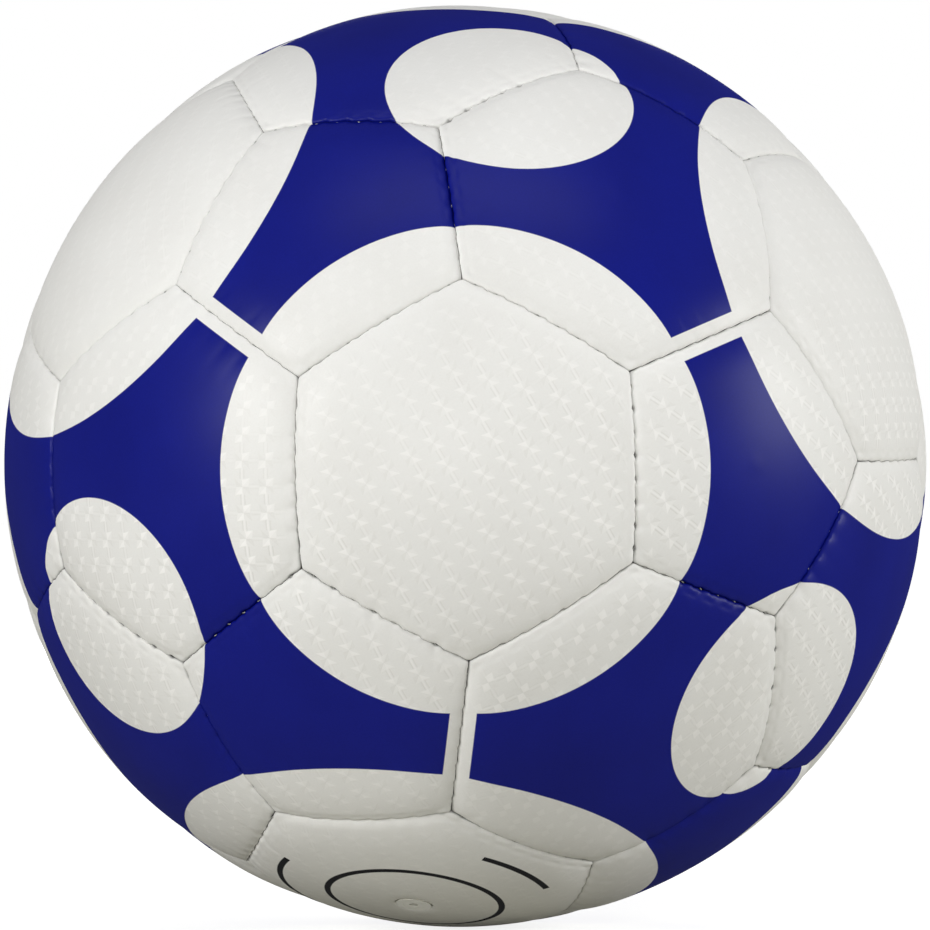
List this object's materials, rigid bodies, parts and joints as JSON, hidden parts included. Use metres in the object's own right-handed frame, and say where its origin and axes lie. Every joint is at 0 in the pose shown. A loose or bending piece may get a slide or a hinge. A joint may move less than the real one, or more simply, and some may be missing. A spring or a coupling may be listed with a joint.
{
  "type": "soccer ball",
  "caption": "Hand-stitched round ball of hexagon and pentagon panels over foam, cloth lining and a rubber bladder, with a needle valve and a low-bounce felt pad.",
  "frame": {"origin": "centre of the ball, which is the centre of its box", "axes": "-Y through the middle of the front hexagon, +Z through the middle of the seam above it, -Z down to where the ball rests"},
  "size_m": [0.2004, 0.2004, 0.2004],
  "materials": {
    "white_leather": "embossed synthetic leather, satin",
    "printed_leather": "smooth printed synthetic leather, satin",
    "foam": "closed-cell foam",
    "lining_cloth": "laminated cotton and polyester cloth",
    "thread": "waxed polyester thread",
    "bladder_rubber": "moulded butyl rubber",
    "valve_rubber": "moulded rubber",
    "felt": "needled felt"
  },
  "bodies": {
    "root": {"hexagon_panel_01": "printed_leather", "hexagon_panel_02": "white_leather", "hexagon_panel_03": "printed_leather", "hexagon_panel_04": "white_leather", "hexagon_panel_05": "printed_leather", "hexagon_panel_06": "printed_leather", "hexagon_panel_07": "printed_leather", "hexagon_panel_08": "white_leather", "hexagon_panel_09": "printed_leather", "hexagon_panel_10": "white_leather", "hexagon_panel_11": "printed_leather", "hexagon_panel_12": "white_leather", "hexagon_panel_13": "white_leather", "hexagon_panel_14": "printed_leather", "hexagon_panel_15": "printed_leather", "hexagon_panel_16": "printed_leather", "hexagon_panel_17": "printed_leather", "hexagon_panel_18": "white_leather", "hexagon_panel_19": "printed_leather", "valve_panel": "white_leather", "pentagon_panel_01": "printed_leather", "pentagon_panel_02": "printed_leather", "pentagon_panel_03": "printed_leather", "pentagon_panel_04": "printed_leather", "pentagon_panel_05": "printed_leather", "pentagon_panel_06": "printed_leather", "pentagon_panel_07": "printed_leather", "pentagon_panel_08": "printed_leather", "pentagon_panel_09": "printed_leather", "pentagon_panel_10": "printed_leather", "pentagon_panel_11": "printed_leather", "pentagon_panel_12": "printed_leather", "hexagon_foam_plies": "foam", "pentagon_foam_plies": "foam", "hexagon_lining_plies": "lining_cloth", "pentagon_lining_plies": "lining_cloth", "hexagon_seam_threads": "thread", "pentagon_seam_threads": "thread", "bladder": "bladder_rubber", "valve_housing": "valve_rubber", "valve_core": "valve_rubber", "valve_patch": "lining_cloth", "balance_patch": "bladder_rubber", "bounce_pad": "felt"}
  },
  "joints": []
}
